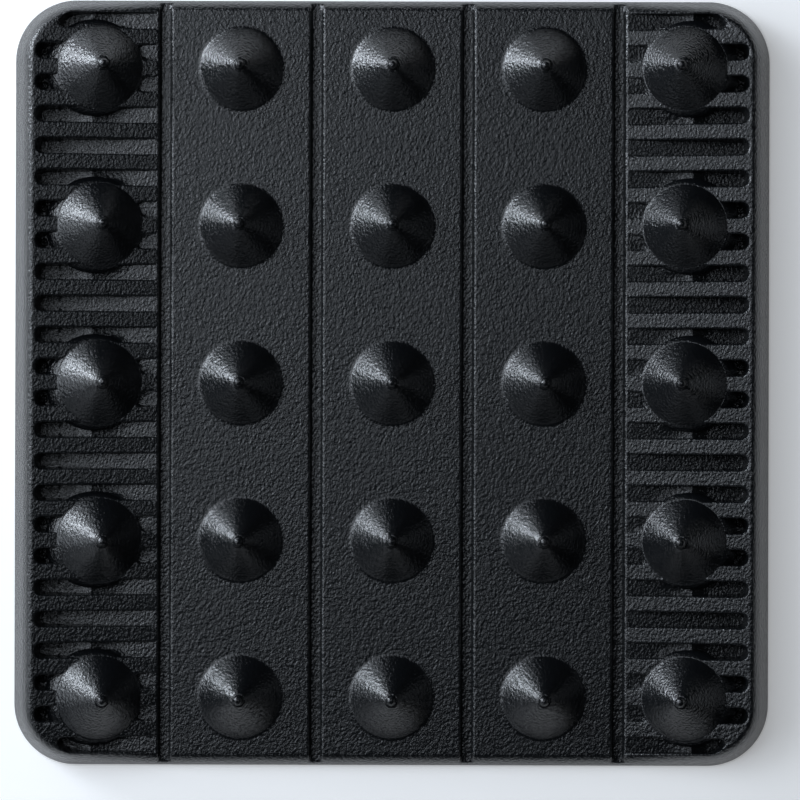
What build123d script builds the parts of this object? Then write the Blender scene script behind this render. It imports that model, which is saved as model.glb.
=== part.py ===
from build123d import *
import math
import os

# Snowboard stomp pad: a moulded grip mat with pointed studs, on an adhesive sheet with a split
# release liner. Millimetres. The origin is at the bottom centre, +Z is up, X runs across the
# strips and Y runs along them.

# Overall size
WIDTH = 127.0
LENGTH = 128.7
CORNER_RADIUS = 10.3
STRIP_COUNT = 5
STRIP_PITCH = WIDTH / STRIP_COUNT

# Layers, from the bottom up
LINER_THICKNESS = 0.15
ADHESIVE_THICKNESS = 0.6
PANEL_THICKNESS = 2.4
BACKING_INSET = 1.2
LINER_SPLIT_GAP = 0.2

# Rim and the rising outer strips
WALL_SLOPE = 2.3
RIM_RISE = 4.0
RIM_INSET = 2.79

# Grooves between the strips
GROOVE_TOP_WIDTH = 2.54
GROOVE_FLOOR_WIDTH = 1.4
GROOVE_DEPTH = 1.2

# Drainage slots across the outer strips
SLOT_COUNT = 24
SLOT_WIDTH = 2.75
SLOTS_PER_STUD_ROW = 5
SLOT_FLOOR_DROP = 1.4
SLOT_END_RADIUS = 1.2
SLOT_END_X = 59.4
LAST_SLOT_END_X = 55.7  # the first and last slots stop short of the rounded corners

# Ridges across the slots that pass just beyond an outer stud
RIDGED_SLOT = 1.5  # slot pitches from the stud row
RIDGE_X = 50.4
RIDGE_HALF_WIDTH = 2.6
RIDGE_HEIGHT = 0.95

# Studs
ROW_COUNT = 5
ROW_PITCH = 26.35
STUD_HEIGHT = 7.0
STUD_RADIUS = 7.0
STUD_HALF_ANGLE = 45.0
NUB_RADIUS = 0.85
NUB_RING_WIDTH = 0.3
INNER_ROOT_RADIUS = 7.4
OUTER_ROOT_RADIUS = 8.1
OUTER_ROOT_SHIFT = 1.0
OUTER_STUD_X = 48.9
ROOT_FLOOR = 0.8

MAT_BOTTOM = LINER_THICKNESS + ADHESIVE_THICKNESS
PANEL_TOP = MAT_BOTTOM + PANEL_THICKNESS
RIM_TOP = PANEL_TOP + RIM_RISE
ROOT_BOTTOM = MAT_BOTTOM + ROOT_FLOOR
CREST_X = WIDTH / 2 - RIM_INSET
LIP_X = 1.5 * STRIP_PITCH + GROOVE_TOP_WIDTH / 2
LAND_ANGLE = math.degrees(math.atan(RIM_RISE / (CREST_X - LIP_X)))
SLOT_PITCH = ROW_PITCH / SLOTS_PER_STUD_ROW
CLEAR = 5.0


def land_height(x):
    """Top of an outer strip at a distance x from the centre line, rising to the rim."""
    return PANEL_TOP + RIM_RISE * (x - LIP_X) / (CREST_X - LIP_X)


def floor_height(x):
    """Floor of a slot at a distance x from the centre line, falling outwards from the groove lip."""
    return PANEL_TOP - SLOT_FLOOR_DROP * (x - LIP_X) / (SLOT_END_X - LIP_X)


def rounded_plate(width, length, radius, bottom, top):
    """A flat plate with rounded corners, centred on the origin."""
    outline = RectangleRounded(width, length, radius)
    return Pos(0, 0, bottom) * extrude(outline, top - bottom)


def cross_section():
    """The mat's section across the strips: flat panels, outer strips rising to the rim."""
    half = WIDTH / 2
    right = [(half, MAT_BOTTOM), (half, RIM_TOP), (CREST_X, RIM_TOP), (LIP_X, PANEL_TOP)]
    left = [(-x, z) for x, z in reversed(right)]
    return Plane.XZ * make_face(Polyline(*right, *left, close=True))


def sloped_block():
    """The envelope that the side walls lean into: the outline drawn in as it rises."""
    rise = RIM_TOP - MAT_BOTTOM
    inset = rise / WALL_SLOPE
    base = RectangleRounded(WIDTH, LENGTH, CORNER_RADIUS)
    lean = math.degrees(math.atan(inset / rise))
    return Pos(0, 0, MAT_BOTTOM) * extrude(base, rise, taper=lean)


def groove(x):
    """One groove between two strips, open at both ends."""
    top = GROOVE_TOP_WIDTH / 2
    floor = GROOVE_FLOOR_WIDTH / 2
    wall = (top - floor) / GROOVE_DEPTH
    over = top + wall * CLEAR
    bottom_z = PANEL_TOP - GROOVE_DEPTH
    top_z = PANEL_TOP + CLEAR
    points = [(-floor, bottom_z), (floor, bottom_z), (over, top_z), (-over, top_z)]
    section = Plane.XZ * make_face(Polyline(*points, close=True))
    return Pos(x, 0, 0) * extrude(section, LENGTH / 2 + CLEAR, both=True)


def slot(number):
    """One drainage slot on the right strip, with a ridge on its floor if it passes a stud closely."""
    inner = LIP_X - STRIP_PITCH / 10
    outer = LAST_SLOT_END_X if number in (0, SLOT_COUNT - 1) else SLOT_END_X
    steps_off_row = abs(number - (SLOT_COUNT - 1) / 2) % SLOTS_PER_STUD_ROW
    floor = [(inner, floor_height(inner))]
    if steps_off_row in (RIDGED_SLOT, SLOTS_PER_STUD_ROW - RIDGED_SLOT):
        ridge_left = RIDGE_X - RIDGE_HALF_WIDTH
        ridge_right = RIDGE_X + RIDGE_HALF_WIDTH
        floor.append((ridge_left, floor_height(ridge_left)))
        floor.append((RIDGE_X, floor_height(RIDGE_X) + RIDGE_HEIGHT))
        floor.append((ridge_right, floor_height(ridge_right)))
    floor.append((outer, floor_height(outer)))
    top = RIM_TOP + CLEAR
    section = Plane.XZ * make_face(Polyline(*floor, (outer, top), (inner, top), close=True))
    y = SLOT_PITCH * (number - (SLOT_COUNT - 1) / 2)
    block = Pos(0, y, 0) * extrude(section, SLOT_WIDTH / 2, both=True)
    ends = block.edges().filter_by(Axis.Z).group_by(Axis.X)[-1]
    return fillet(ends, SLOT_END_RADIUS)


def stud_profile():
    """Half outline of a stud about its own axis, foot circle at height 0, nub at the top."""
    slope = math.tan(math.radians(STUD_HALF_ANGLE))
    neck = NUB_RADIUS + NUB_RING_WIDTH
    neck_z = (STUD_RADIUS - neck) / slope
    wide = STUD_RADIUS + CLEAR * slope
    nub_base_z = STUD_HEIGHT - NUB_RADIUS
    with BuildSketch(Plane.XZ) as half:
        with BuildLine():
            Polyline((0, -CLEAR), (wide, -CLEAR), (neck, neck_z), (NUB_RADIUS, neck_z))
            Line((NUB_RADIUS, neck_z), (NUB_RADIUS, nub_base_z))
            RadiusArc((NUB_RADIUS, nub_base_z), (0, STUD_HEIGHT), -NUB_RADIUS)
            Line((0, STUD_HEIGHT), (0, -CLEAR))
        make_face()
    return half.sketch


def stud(foot, tilt, root_x, root_radius):
    """A pointed stud standing on a foot circle, with a round upright root below it."""
    cone = revolve(stud_profile(), Axis.Z)
    leaning = Pos(*foot) * Rot(0, tilt, 0) * cone
    root_height = RIM_TOP + STUD_HEIGHT + CLEAR
    column = Pos(root_x, foot[1], ROOT_BOTTOM) * extrude(Circle(root_radius), root_height)
    return leaning & column


def row_y(row):
    """Rows are numbered from the +Y end."""
    return ROW_PITCH * ((ROW_COUNT - 1) / 2 - row)


def make_studs():
    """All studs by node name. An outer one leans inwards, square to its sloping strip."""
    studs = {}
    last = STRIP_COUNT - 1
    for row in range(ROW_COUNT):
        for column in range(STRIP_COUNT):
            name = f"stud_r{row + 1}_c{column + 1}"
            side = column - last / 2
            if column in (0, last):
                sign = math.copysign(1, side)
                foot = (sign * OUTER_STUD_X, row_y(row), land_height(OUTER_STUD_X))
                root_x = sign * (OUTER_STUD_X + OUTER_ROOT_SHIFT)
                studs[name] = stud(foot, -sign * LAND_ANGLE, root_x, OUTER_ROOT_RADIUS)
            else:
                x = side * STRIP_PITCH
                studs[name] = stud((x, row_y(row), PANEL_TOP), 0, x, INNER_ROOT_RADIUS)
    return studs


def make_mat(studs):
    """The grip mat, with a seat cut for every stud."""
    body = extrude(cross_section(), LENGTH / 2, both=True) & sloped_block()
    for gap in range(1, STRIP_COUNT):
        body -= groove(STRIP_PITCH * (gap - STRIP_COUNT / 2))
    right = [slot(number) for number in range(SLOT_COUNT)]
    left = [mirror(cut, Plane.YZ) for cut in right]
    body = body - right - left
    return body - list(studs.values())


def backing_outline():
    """The shared outline of the adhesive and the liner, a little inside the mat's edge."""
    width = WIDTH - 2 * BACKING_INSET
    length = LENGTH - 2 * BACKING_INSET
    return width, length, CORNER_RADIUS - BACKING_INSET


def make_adhesive():
    """Double-sided foam tape, one sheet."""
    return rounded_plate(*backing_outline(), LINER_THICKNESS, MAT_BOTTOM)


def make_liner(sign):
    """One half of the release liner, split down the middle."""
    sheet = rounded_plate(*backing_outline(), 0, LINER_THICKNESS)
    half = Pos(sign * (WIDTH / 2 + LINER_SPLIT_GAP / 2), 0, 0) * Box(WIDTH, 2 * LENGTH, CLEAR)
    return sheet & half


def only_solid(shape):
    """The single solid that a piece is made of."""
    solids = shape.solids()
    if len(solids) != 1:
        raise ValueError(f"expected one solid, found {len(solids)}")
    return solids[0]


def main():
    os.makedirs("parts", exist_ok=True)
    pieces = make_studs()
    pieces["mat"] = make_mat(pieces)
    pieces["adhesive_sheet"] = make_adhesive()
    pieces["liner_left"] = make_liner(-1)
    pieces["liner_right"] = make_liner(1)
    for name, shape in pieces.items():
        piece = only_solid(shape)
        piece.label = name
        export_step(piece, os.path.join("parts", name + ".step"))


main()
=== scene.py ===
import math

import bpy
import numpy as np
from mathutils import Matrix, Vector


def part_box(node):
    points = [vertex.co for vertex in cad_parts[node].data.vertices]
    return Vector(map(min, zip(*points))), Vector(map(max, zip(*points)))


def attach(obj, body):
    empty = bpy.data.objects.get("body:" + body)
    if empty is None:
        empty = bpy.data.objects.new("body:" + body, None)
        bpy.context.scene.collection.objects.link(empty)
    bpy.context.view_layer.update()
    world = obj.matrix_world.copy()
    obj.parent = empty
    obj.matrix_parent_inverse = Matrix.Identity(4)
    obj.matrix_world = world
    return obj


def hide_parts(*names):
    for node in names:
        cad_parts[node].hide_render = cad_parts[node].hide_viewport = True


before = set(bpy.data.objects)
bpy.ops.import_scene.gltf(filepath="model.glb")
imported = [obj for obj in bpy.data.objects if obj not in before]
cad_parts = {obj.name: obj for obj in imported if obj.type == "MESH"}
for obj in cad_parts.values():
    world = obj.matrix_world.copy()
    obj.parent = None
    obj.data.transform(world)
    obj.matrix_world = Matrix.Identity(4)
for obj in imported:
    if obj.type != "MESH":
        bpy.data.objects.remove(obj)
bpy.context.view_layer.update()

MM = 0.001


def corners(node):
    """Lowest and highest corners of a node of the frame, in millimetres."""
    return [[round(value / MM, 3) for value in corner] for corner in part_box(node)]


# Sizes in millimetres. The overall ones are read from the frame.
(_, _, MAT_BOTTOM), (HALF_WIDTH, HALF_LENGTH, RIM_TOP) = corners("mat")
STRIP_PITCH = 2 * HALF_WIDTH / 5
MIDDLE_STUD = corners("stud_r3_c3")
OUTER_STUD = corners("stud_r3_c5")
ROW_PITCH = corners("stud_r2_c3")[1][1] - MIDDLE_STUD[1][1]
ROOT_BOTTOM = MIDDLE_STUD[0][2]
INNER_ROOT_RADIUS = MIDDLE_STUD[1][0]
OUTER_ROOT_X = (OUTER_STUD[0][0] + OUTER_STUD[1][0]) / 2
OUTER_ROOT_RADIUS = (OUTER_STUD[1][0] - OUTER_STUD[0][0]) / 2

# The outer strips and the rim
CORNER_RADIUS = 10.3
RIM_RISE = 4.0
PANEL_TOP = RIM_TOP - RIM_RISE
WALL_SLOPE = 2.3
CREST_X = HALF_WIDTH - (RIM_TOP - MAT_BOTTOM) / WALL_SLOPE
CREST_ROUNDING = 2.4

# Grooves: the lips are rounded, the walls steep, and the floors slightly hollow
GROOVE_HALF_WIDTH = 1.45
GROOVE_LIP_RADIUS = 0.5
GROOVE_WALL_SLOPE = 3.0
GROOVE_DEPTH = 1.2
GROOVE_FLOOR_SAG = 0.06
LIP_X = 1.5 * STRIP_PITCH + 1.27

# Slots, from the groove lip to the rim
SLOTS_PER_ROW = 5
SLOT_COUNT = 24
SLOT_PITCH = ROW_PITCH / SLOTS_PER_ROW
SLOT_HALF_WIDTH = 1.625
SLOT_END_RADIUS = 1.5
SLOT_END_X = 59.7
LAST_SLOT_END_X = 56.1
LAST_SLOT_CORNER = 2.9
SLOT_LIP_RADIUS = 0.35
SLOT_WALL_SLOPE = 25.0
SLOT_FLOOR_SLOPE = 0.07
SLOT_STUD_RADIUS = 6.2
SLOT_STUD_ROUNDING = 2.0

# Small features on the slot floors: ridges beside the outer studs and moulded rings near the rim
RIDGED_SLOT = 1.5
RIDGE_X = 50.4
RIDGE_HALF_WIDTH = 2.6
RIDGE_HEIGHT = 0.95
RING_X = 58.55
RING_Y = SLOT_PITCH / 2 + 0.27
RING_RADIUS = 0.38
RING_HALF_WIDTH = 0.25
RING_HEIGHT = 0.3

# Studs
STUD_RADIUS = 7.0
STUD_HEIGHT = MIDDLE_STUD[1][2] - PANEL_TOP
OUTER_ROOT_SHIFT = 1.0
OUTER_STUD_X = OUTER_ROOT_X - OUTER_ROOT_SHIFT
OUTER_TILT = math.atan(RIM_RISE / (CREST_X - LIP_X))
NUB_RADIUS = 0.85
NECK_RADIUS = 1.15
FOOT_FILLET = 0.38
OUTER_FOOT_FILLET = 0.12
STUD_SEGMENTS = 128

# The rubber and its moulded grain, which slants across the strips
RUBBER_ROUGHNESS = 0.18
MAT_GRAIN_SIZE = 0.42
MAT_GRAIN_DEPTH = 0.22
STUD_GRAIN_SIZE = 0.4
STUD_GRAIN_DEPTH = 0.15
GRAIN_STRETCH = 0.8
GRAIN_TURN = -45

# The studio
SOFTBOX_DISTANCE = 0.6
LIGHT_TINT = (0.92, 1.0, 1.1)
FLOOR_SIZE = 3000.0
FLOOR_Z = -0.02
FLOOR_GLOW = 0.25


# ---------------------------------------------------------------- mesh helpers

def smooth_min(a, b, k):
    """The lower of two surfaces, rounded where they cross."""
    h = np.maximum(k - np.abs(a - b), 0) / k
    return np.minimum(a, b) - h * h * k / 4


def new_mesh(name, points, faces):
    """A smooth-shaded object from points in millimetres."""
    mesh = bpy.data.meshes.new(name)
    mesh.from_pydata((np.asarray(points) * MM).tolist(), [], faces)
    mesh.validate()
    mesh.shade_smooth()
    piece = bpy.data.objects.new(name, mesh)
    bpy.context.scene.collection.objects.link(piece)
    return piece


def sharpen(piece, degrees):
    """Keeps the edges sharper than this angle crisp under smooth shading."""
    piece.data.set_sharp_from_angle(angle=math.radians(degrees))


def evenly(low, high, step):
    """Values from low to high, at most a step apart."""
    count = math.ceil((high - low) / step - 1e-6)
    return [low + (high - low) * k / count for k in range(count + 1)]


# ---------------------------------------------------------------- the grip mat

def outline_distance(x, y, half_width, half_length, radius):
    """Distance inside a rounded rectangle, negative outside it."""
    across = np.abs(x) - (half_width - radius)
    along = np.abs(y) - (half_length - radius)
    outside = np.hypot(np.maximum(across, 0), np.maximum(along, 0))
    inside = np.minimum(np.maximum(across, along), 0)
    return radius - outside - inside


def edge_drop(inside, radius, slope):
    """How far a rounded lip and the wall below it have fallen, at a distance inside the edge line."""
    run = radius * math.sin(math.atan(slope))
    arc = radius - np.sqrt(radius**2 - np.clip(inside, 0, run) ** 2)
    return arc + slope * np.maximum(inside - run, 0)


def cut(top, inside, radius, slope, floor):
    """A surface with a recess cut into it, down to its floor."""
    return np.minimum(top, np.maximum(top - edge_drop(inside, radius, slope), floor))


def nearest_slot(y):
    """The nearest slot, as its number of slot pitches from the middle of the mat."""
    last = (SLOT_COUNT - 1) / 2
    return np.clip(np.round(y / SLOT_PITCH + last), 0, SLOT_COUNT - 1) - last


def slot_distance(x, y):
    """Distance inside the nearest slot, negative outside it. Slots are open at the groove."""
    number = nearest_slot(y)
    off = y - number * SLOT_PITCH
    last = np.abs(number) == (SLOT_COUNT - 1) / 2
    end_x = np.where(last, LAST_SLOT_END_X, SLOT_END_X)
    half_run = STRIP_PITCH
    along_slot = np.abs(x) - (end_x - half_run)
    slot = outline_distance(along_slot, off, half_run, SLOT_HALF_WIDTH, SLOT_END_RADIUS)
    half_length = (SLOT_COUNT - 1) / 2 * SLOT_PITCH + SLOT_HALF_WIDTH
    corner = outline_distance(x, y, LAST_SLOT_END_X, half_length, LAST_SLOT_CORNER)
    slot = np.where(last, np.minimum(slot, corner), slot)
    off_row = y - ROW_PITCH * np.round(y / ROW_PITCH)
    clear = np.hypot(np.abs(x) - OUTER_STUD_X, off_row) - SLOT_STUD_RADIUS
    return np.where(np.abs(x) < OUTER_STUD_X, smooth_min(slot, clear, SLOT_STUD_ROUNDING), slot)


def slot_floor(x, y):
    """Floor of the slots, falling outwards, with the ridges and rings that stand on it."""
    floor = PANEL_TOP - SLOT_FLOOR_SLOPE * (np.abs(x) - LIP_X)
    steps_off_row = np.abs(nearest_slot(y)) % SLOTS_PER_ROW
    ridged = np.abs(steps_off_row - SLOTS_PER_ROW / 2) == SLOTS_PER_ROW / 2 - RIDGED_SLOT
    ridge = np.clip(1 - np.abs(np.abs(x) - RIDGE_X) / RIDGE_HALF_WIDTH, 0, 1)
    off_row = y - ROW_PITCH * np.round(y / ROW_PITCH)
    from_ring = np.hypot(np.abs(x) - RING_X, np.abs(off_row) - RING_Y) - RING_RADIUS
    ring = np.clip(1 - (from_ring / RING_HALF_WIDTH) ** 2, 0, 1)
    return floor + RIDGE_HEIGHT * ridge * ridged + RING_HEIGHT * ring


def land_height(x):
    """Flat middle strips, and outer strips that rise to the rim."""
    return PANEL_TOP + RIM_RISE * np.maximum(np.abs(x) - LIP_X, 0) / (CREST_X - LIP_X)


def mat_height(x, y):
    """Height of the mat's upper surface."""
    wall = MAT_BOTTOM + WALL_SLOPE * outline_distance(x, y, HALF_WIDTH, HALF_LENGTH, CORNER_RADIUS)
    top = smooth_min(land_height(x), wall, CREST_ROUNDING)
    top = cut(top, slot_distance(x, y), SLOT_LIP_RADIUS, SLOT_WALL_SLOPE, slot_floor(x, y))
    for centre in (-1.5, -0.5, 0.5, 1.5):
        off = np.abs(x - centre * STRIP_PITCH)
        floor = PANEL_TOP - GROOVE_DEPTH + GROOVE_FLOOR_SAG * (off / GROOVE_HALF_WIDTH * 2) ** 2
        top = cut(top, GROOVE_HALF_WIDTH - off, GROOVE_LIP_RADIUS, GROOVE_WALL_SLOPE, floor)
    return np.maximum(top, MAT_BOTTOM)


def edge_lines(radius, slope, depth, lip_steps, wall_steps):
    """Distances inside an edge line for grid lines round its lip and down its wall."""
    turn = math.atan(slope)
    run = radius * math.sin(turn)
    wall_run = (depth - radius * (1 - math.cos(turn))) / slope
    lip = [radius * math.sin(turn * k / lip_steps) for k in range(lip_steps + 1)]
    wall = [run + wall_run * (k + 1) / wall_steps for k in range(wall_steps)]
    return [-0.04] + lip + wall


def merged(kept, extra):
    """Sorted lines with those extra ones added that aren't almost on a kept one."""
    return sorted(kept + [v for v in extra if min(abs(v - k) for k in kept) > 0.025])


def columns():
    """Grid lines across the mat with their detail: 0 plain, 1 slot edges, 2 slot ends too."""
    edge = edge_lines(GROOVE_LIP_RADIUS, GROOVE_WALL_SLOPE, GROOVE_DEPTH, 6, 1)
    edge = [GROOVE_HALF_WIDTH - inside for inside in edge] + [0.35]
    inner, outer = 0.5 * STRIP_PITCH, 1.5 * STRIP_PITCH
    ends_at, rim_at, wall_at = 57.7, 59.9, 60.9
    grooves = [inner, outer] + [inner + off for off in edge]
    grooves += [centre - off for centre in (inner, outer) for off in edge]
    plain = merged([0.0] + sorted(grooves), evenly(0, outer, 2.1))
    ridge = [RIDGE_X + off for off in (-RIDGE_HALF_WIDTH, -0.1, 0, 0.1, RIDGE_HALF_WIDTH)]
    last_end = evenly(LAST_SLOT_END_X - LAST_SLOT_CORNER - 0.1, LAST_SLOT_END_X + 0.1, 0.36)
    land = [outer + off for off in edge] + [41.4, 45.0] + ridge + last_end + [57.0, ends_at]
    land = sorted(land)
    beside_stud = evenly(41.4, 43.6, 0.3)[1:]
    ends = evenly(ends_at, rim_at, 0.15)[1:]
    rim = evenly(rim_at, wall_at, 0.2)[1:] + evenly(wall_at, HALF_WIDTH, 0.65)[1:]
    zones = ((plain, 0), (land, 1), (beside_stud, 2), (ends, 2), (rim, 0))
    half = sorted((x, detail) for lines, detail in zones for x in lines)
    return [(-x, detail) for x, detail in reversed(half) if x > 0] + half


def rows():
    """Grid lines along the mat with their detail: 0 plain, 1 slot edges, 2 slot ends too."""
    half_count = SLOT_COUNT // 2
    centres = [(k + 0.5) * SLOT_PITCH for k in range(half_count)]
    corner_at, end_at = 54.0, 60.4
    plain = merged(
        [k * SLOT_PITCH for k in range(half_count)],
        evenly(corner_at, end_at, 0.6) + evenly(end_at, HALF_LENGTH, 0.2),
    )
    depth = RIM_TOP - PANEL_TOP + SLOT_FLOOR_SLOPE * (SLOT_END_X - LIP_X)
    inside = edge_lines(SLOT_LIP_RADIUS, SLOT_WALL_SLOPE, depth, 5, 4)
    edge = [SLOT_HALF_WIDTH - distance for distance in inside] + [0]
    floor = evenly(0, SLOT_HALF_WIDTH - inside[-1], 0.17)
    edges = [c + side * off for c in centres for off in edge for side in (-1, 1)]
    edges = merged(plain, edges + [centres[-1] + side * off for off in floor for side in (-1, 1)])
    ends = merged(edges, [c + side * off for c in centres for off in floor for side in (-1, 1)])
    half = [(y, 0 if y in plain else 1 if y in edges else 2) for y in ends]
    return [(-y, detail) for y, detail in reversed(half) if y > 0] + half


def bend_to_corner(p, q):
    """Moves grid points so that the outer grid lines follow the rounded corners."""
    u = np.maximum(np.abs(p) - (HALF_WIDTH - CORNER_RADIUS), 0)
    v = np.maximum(np.abs(q) - (HALF_LENGTH - CORNER_RADIUS), 0)
    reach = np.maximum(u, v)
    size = np.maximum(np.hypot(u, v), 1e-9)
    weight = np.clip((reach / CORNER_RADIUS - 0.15) / 0.45, 0, 1)
    weight = weight * weight * (3 - 2 * weight)
    factor = 1 + (reach / size - 1) * weight
    x = np.sign(p) * (np.abs(p) - u + u * factor)
    y = np.sign(q) * (np.abs(q) - v + v * factor)
    return x, y


def strip_faces(left, right):
    """Faces between two neighbouring columns, each a dictionary from row number to point number."""
    shared = sorted(set(left) & set(right))
    faces = []
    for low, high in zip(shared, shared[1:]):
        up = [right[row] for row in range(low, high + 1) if row in right]
        down = [left[row] for row in range(high, low, -1) if row in left]
        faces.append([left[low], *up, *down])
    return faces


def make_mat():
    """The mat as one closed mesh: its upper surface over a graded grid, and a flat underside."""
    across, along = columns(), rows()
    places = []
    numbers = []
    for x, detail in across:
        kept = [row for row, (_, row_detail) in enumerate(along) if row_detail <= detail]
        numbers.append({row: len(places) + k for k, row in enumerate(kept)})
        places += [(x, along[row][0]) for row in kept]
    p, q = np.array(places).T
    x, y = bend_to_corner(p, q)
    points = np.stack([x, y, mat_height(x, y)], axis=-1)
    faces = [face for pair in zip(numbers, numbers[1:]) for face in strip_faces(*pair)]
    last = len(along) - 1
    near = [column[0] for column in numbers]
    far = [column[last] for column in numbers]
    right_side = list(numbers[-1].values())[1:]
    left_side = list(numbers[0].values())[1:-1]
    outline = near + right_side + far[-2::-1] + left_side[::-1]
    points[outline, 2] = MAT_BOTTOM
    faces.append(outline[::-1])
    return new_mesh("mat_moulding", points, faces)


def cut_seats(mat, studs):
    """Cuts a seat for every stud out of the mat."""
    seats = bpy.data.collections.new("seats")
    for stud in studs:
        seats.objects.link(stud)
    cutter = mat.modifiers.new("seats", "BOOLEAN")
    cutter.operation = "DIFFERENCE"
    cutter.operand_type = "COLLECTION"
    cutter.collection = seats
    cutter.solver = "MANIFOLD"
    whole = mat.data
    mat.data = bpy.data.meshes.new_from_object(mat.evaluated_get(bpy.context.evaluated_depsgraph_get()))
    mat.modifiers.clear()
    bpy.data.meshes.remove(whole)
    bpy.data.collections.remove(seats)
    mat.data.name = mat.name


# ---------------------------------------------------------------- the studs

def tip_profile():
    """Radii and heights down a stud about its own axis: the nub, its flat ring and the cone."""
    nub_steps = 7
    centre = STUD_HEIGHT - NUB_RADIUS
    neck = STUD_RADIUS - NECK_RADIUS
    profile = []
    for k in range(1, nub_steps + 1):
        angle = math.pi / 2 * k / nub_steps
        profile.append((NUB_RADIUS * math.sin(angle), centre + NUB_RADIUS * math.cos(angle)))
    profile += [(NUB_RADIUS, neck + 0.16), (NUB_RADIUS + 0.05, neck + 0.05), (NUB_RADIUS + 0.14, neck)]
    profile += [(NECK_RADIUS - 0.06, neck), (NECK_RADIUS + 0.02, neck - 0.05)]
    profile += [(r, STUD_RADIUS - r) for r in np.linspace(NECK_RADIUS + 0.12, STUD_RADIUS - 0.12, 12)]
    return profile


def foot_profile(fillet):
    """Radii and heights round a stud's foot: a small fillet onto the strip."""
    end = STUD_RADIUS + fillet
    rise = 0.26 * fillet
    return [(end - fillet * 1.2 * part, rise * part**2) for part in (1, 0.8, 0.6, 0.4, 0.2, 0)]


def root_profile():
    """Radii and heights of the upright root of an inner stud."""
    root = ROOT_BOTTOM - PANEL_TOP
    return [(INNER_ROOT_RADIUS, -0.03), (INNER_ROOT_RADIUS, root / 2), (INNER_ROOT_RADIUS, root)]


def around(tilt):
    """The axis of a stud and its outward directions, leaning by the tilt about Y."""
    turn = np.linspace(0, 2 * math.pi, STUD_SEGMENTS, endpoint=False)
    axis = np.array([math.sin(tilt), 0, math.cos(tilt)])
    across = np.array([math.cos(tilt), 0, -math.sin(tilt)])
    out = np.cos(turn)[:, None] * across + np.sin(turn)[:, None] * np.array([0, 1, 0])
    return axis, out


def reach_column(start, slope, centre, radius):
    """How far along each slope line from its start the surface of an upright column is met."""
    rel = start[:, :2] - centre[:2]
    a = (slope[:, :2] ** 2).sum(1)
    b = (rel * slope[:, :2]).sum(1)
    c = (rel**2).sum(1) - radius**2
    return ((-b + np.sqrt(b * b - a * c)) / a)[:, None]


def outer_root(last, slope, centre):
    """Rings from the foot of an outer stud out to its upright root, with a soft shoulder, and down it."""
    soft = 0.06
    reach = reach_column(last, slope, centre, OUTER_ROOT_RADIUS)
    down = np.array([0, 0, soft])
    edge = last + slope * reach
    rings = [last + slope * reach * part for part in (0.3, 0.6)]
    rings += [edge - slope * soft * 0.6, edge - slope * soft * 0.25 - down * 0.25, edge - down]
    bottom = edge.copy()
    bottom[:, 2] = ROOT_BOTTOM
    rings += [(edge - down) * (1 - part) + bottom * part for part in (0.35, 0.7, 1)]
    return rings


def loft(name, tip, rings):
    """A closed piece from a tip point, rings of points below it and a flat base."""
    count = len(rings[0])
    points = np.vstack([tip[None, :], *rings])
    faces = [(0, 1 + k, 1 + (k + 1) % count) for k in range(count)]
    for number in range(len(rings) - 1):
        first = 1 + number * count
        for k in range(count):
            n = (k + 1) % count
            faces.append((first + k, first + count + k, first + count + n, first + n))
    base = 1 + (len(rings) - 1) * count
    faces.append([base + k for k in reversed(range(count))])
    piece = new_mesh(name, points, faces)
    sharpen(piece, 50)
    return piece


def make_stud(name, foot, tilt):
    """One stud standing on a foot circle, with its nub at the top and its round root below."""
    axis, out = around(tilt)
    foot = np.array(foot)
    profile = tip_profile() + foot_profile(OUTER_FOOT_FILLET if tilt else FOOT_FILLET)
    if not tilt:
        profile += root_profile()
    rings = [foot + axis * height + out * radius for radius, height in profile]
    if tilt:
        root = np.array([math.copysign(OUTER_ROOT_X, foot[0]), foot[1]])
        rings += outer_root(rings[-1], out - axis, root)
    return loft(name, foot + axis * STUD_HEIGHT, rings)


def make_studs():
    """Every stud, in rows from the far end and columns from the left, in the frame's places."""
    studs = []
    for row in range(5):
        for column in range(5):
            node = f"stud_r{row + 1}_c{column + 1}"
            side = column - 2
            y = (2 - row) * ROW_PITCH
            if abs(side) == 2:
                sign = side / 2
                foot = (sign * OUTER_STUD_X, y, float(land_height(OUTER_STUD_X)))
                stud = make_stud(f"{node}_cone", foot, -sign * OUTER_TILT)
            else:
                stud = make_stud(f"{node}_cone", (side * STRIP_PITCH, y, PANEL_TOP), 0)
            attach(stud, "pad")
            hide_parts(node)
            studs.append(stud)
    return studs


# ---------------------------------------------------------------- materials

def new_material(name, base_color, roughness):
    """A material, its node tree and its main shader."""
    material = bpy.data.materials.new(name)
    material.use_nodes = True
    tree = material.node_tree
    shader = tree.nodes["Principled BSDF"]
    shader.inputs["Base Color"].default_value = (*base_color, 1)
    shader.inputs["Roughness"].default_value = roughness
    return material, tree, shader


def add(tree, kind, **inputs):
    """A node of that kind with some of its inputs set by name."""
    node = tree.nodes.new(kind)
    for key, value in inputs.items():
        node.inputs[key.replace("_", " ")].default_value = value
    return node


def grain_height(tree, size, stretch, turn):
    """A leather-like moulded grain as a height from 0 to 1: short ridges that lean one way."""
    link = tree.links.new
    place = add(tree, "ShaderNodeTexCoord")
    mapping = add(tree, "ShaderNodeMapping")
    mapping.inputs["Rotation"].default_value = (0, 0, turn)
    mapping.inputs["Scale"].default_value = (1, stretch, 1)
    link(place.outputs["Object"], mapping.inputs["Vector"])
    ridges = add(tree, "ShaderNodeTexNoise", Scale=1 / (size * MM), Detail=2.0, Roughness=0.55)
    link(mapping.outputs["Vector"], ridges.inputs["Vector"])
    return ridges.outputs["Fac"]


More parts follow.
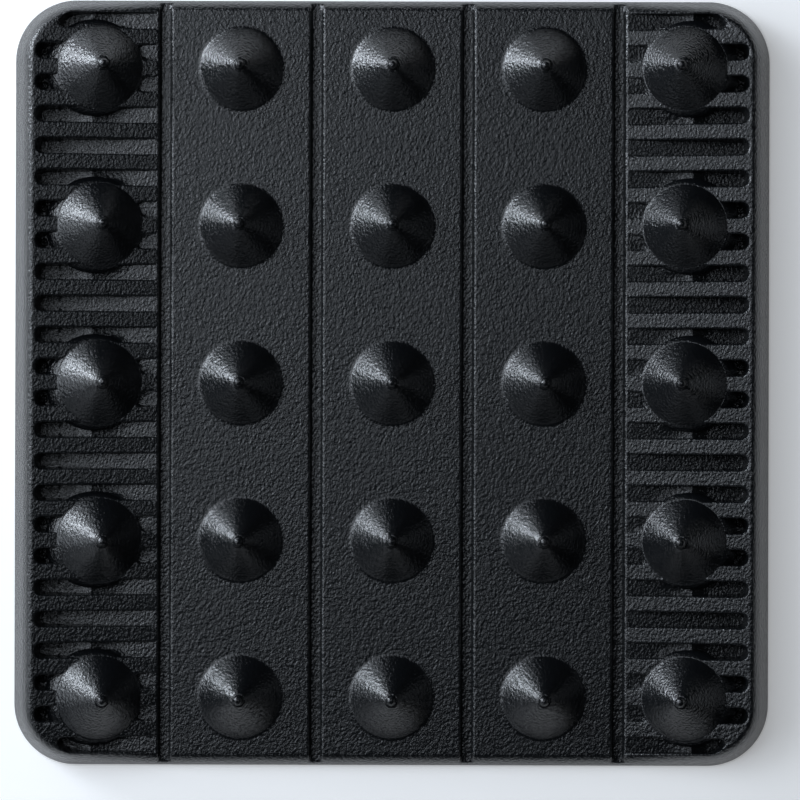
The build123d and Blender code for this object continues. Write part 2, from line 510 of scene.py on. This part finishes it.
def add_bump(tree, shader, height, depth, strength):
    """Feeds a height into the shader's normal. depth is in millimetres."""
    bump = add(tree, "ShaderNodeBump", Strength=strength, Distance=depth * MM)
    tree.links.new(height, bump.inputs["Height"])
    tree.links.new(bump.outputs["Normal"], shader.inputs["Normal"])
    return bump


def rubber_material(name, base_color, grain_size, grain_depth):
    """Moulded rubber with a fine slanting grain. Sizes are in millimetres."""
    material, tree, shader = new_material(name, base_color, RUBBER_ROUGHNESS)
    grain = grain_height(tree, grain_size, GRAIN_STRETCH, math.radians(GRAIN_TURN))
    add_bump(tree, shader, grain, grain_depth, 1.0)
    return material


def mat_material():
    """Charcoal rubber with a coarser, deeper grain."""
    return rubber_material("mat_rubber", (0.0045, 0.0052, 0.006), MAT_GRAIN_SIZE, MAT_GRAIN_DEPTH)


def stud_material():
    """The same rubber from a smoother mould face, a little darker."""
    return rubber_material("stud_rubber", (0.003, 0.0035, 0.0042), STUD_GRAIN_SIZE, STUD_GRAIN_DEPTH)


def adhesive_material():
    """Grey closed-cell foam tape."""
    material, tree, shader = new_material("adhesive_foam", (0.3, 0.31, 0.3), 0.8)
    cells = add(tree, "ShaderNodeTexVoronoi", Scale=1 / (0.35 * MM))
    place = add(tree, "ShaderNodeTexCoord")
    tree.links.new(place.outputs["Object"], cells.inputs["Vector"])
    add_bump(tree, shader, cells.outputs["Distance"], 0.05, 0.7)
    return material


def liner_material():
    """Coated release paper: pale, slightly glossy, with faint fibres."""
    material, tree, shader = new_material("liner_paper", (0.72, 0.68, 0.55), 0.38)
    fibres = grain_height(tree, 0.9, 0.2, math.radians(8))
    add_bump(tree, shader, fibres, 0.02, 0.5)
    return material


# ---------------------------------------------------------------- the studio

def make_floor():
    """A plain white table, lit evenly from below as well as by the lights."""
    signs = ((-1, -1), (1, -1), (1, 1), (-1, 1))
    points = [(sx * FLOOR_SIZE, sy * FLOOR_SIZE, FLOOR_Z) for sx, sy in signs]
    floor = new_mesh("floor", points, [(0, 1, 2, 3)])
    material, _, shader = new_material("floor_paper", (0.92, 0.92, 0.92), 0.9)
    shader.inputs["Emission Color"].default_value = (1, 1, 1, 1)
    shader.inputs["Emission Strength"].default_value = FLOOR_GLOW
    floor.data.materials.append(material)


def add_softbox(name, azimuth, elevation, width, height, radiance):
    """A softbox aimed at the pad. Azimuth is anticlockwise from +X; sizes are in metres."""
    light = bpy.data.lights.new(name, "AREA")
    light.shape = "RECTANGLE"
    light.size = width
    light.size_y = height
    light.energy = math.pi * width * height * radiance
    light.color = LIGHT_TINT
    a, e = math.radians(azimuth), math.radians(elevation)
    direction = Vector((math.cos(a) * math.cos(e), math.sin(a) * math.cos(e), math.sin(e)))
    holder = bpy.data.objects.new(name, light)
    holder.location = direction * SOFTBOX_DISTANCE
    holder.rotation_mode = "QUATERNION"
    holder.rotation_quaternion = (-direction).to_track_quat("-Z", "Y")
    bpy.context.scene.collection.objects.link(holder)


def make_lights():
    """A bright box low at the upper left, softer ones rising above it, and weak fills."""
    add_softbox("key", 150, 8, 0.21, 0.15, 26)
    add_softbox("key_side", 125, 9, 0.24, 0.15, 4.6)
    add_softbox("above_key", 150, 22, 0.21, 0.15, 5)
    add_softbox("middle_box", 150, 38, 0.3, 0.18, 4.7)
    add_softbox("left_low", 178, 20, 0.21, 0.15, 2.6)
    add_softbox("left_box", 178, 34, 0.45, 0.25, 2.9)
    add_softbox("high_box", 150, 58, 0.6, 0.16, 1.9)
    add_softbox("overhead", 130, 77, 0.4, 0.25, 1.5)
    add_softbox("near_fill", 270, 14, 0.9, 0.26, 0.28)
    add_softbox("front_left_fill", 225, 14, 0.42, 0.26, 0.55)
    add_softbox("right_fill", 0, 14, 0.42, 0.26, 0.3)
    world = bpy.data.worlds.new("studio")
    world.use_nodes = True
    background = world.node_tree.nodes["Background"]
    background.inputs["Color"].default_value = (*LIGHT_TINT, 1)
    background.inputs["Strength"].default_value = 0.02
    bpy.context.scene.world = world
    bpy.context.scene.view_settings.view_transform = "Standard"


def make_camera():
    """Straight above the pad, as a product shot from about half a metre."""
    camera = bpy.data.cameras.new("camera")
    camera.sensor_width = 36
    camera.lens = 136.5
    holder = bpy.data.objects.new("camera", camera)
    holder.location = (0.00136, -0.00283, 0.512)
    holder.rotation_euler = (0, 0, math.radians(0.16))
    bpy.context.scene.collection.objects.link(holder)
    bpy.context.scene.camera = holder


def coat(piece, material):
    """Gives a piece one material and no other."""
    piece.data.materials.clear()
    piece.data.materials.append(material)


def main():
    make_camera()
    make_lights()
    make_floor()
    studs = make_studs()
    mat = make_mat()
    cut_seats(mat, studs)
    sharpen(mat, 60)
    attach(mat, "pad")
    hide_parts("mat")
    finishes = {
        "adhesive_sheet": adhesive_material(),
        "liner_left": liner_material(),
        "liner_right": liner_material(),
    }
    for node, material in finishes.items():
        coat(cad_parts[node], material)
    rubber = stud_material()
    for stud in studs:
        coat(stud, rubber)
    coat(mat, mat_material())


main()
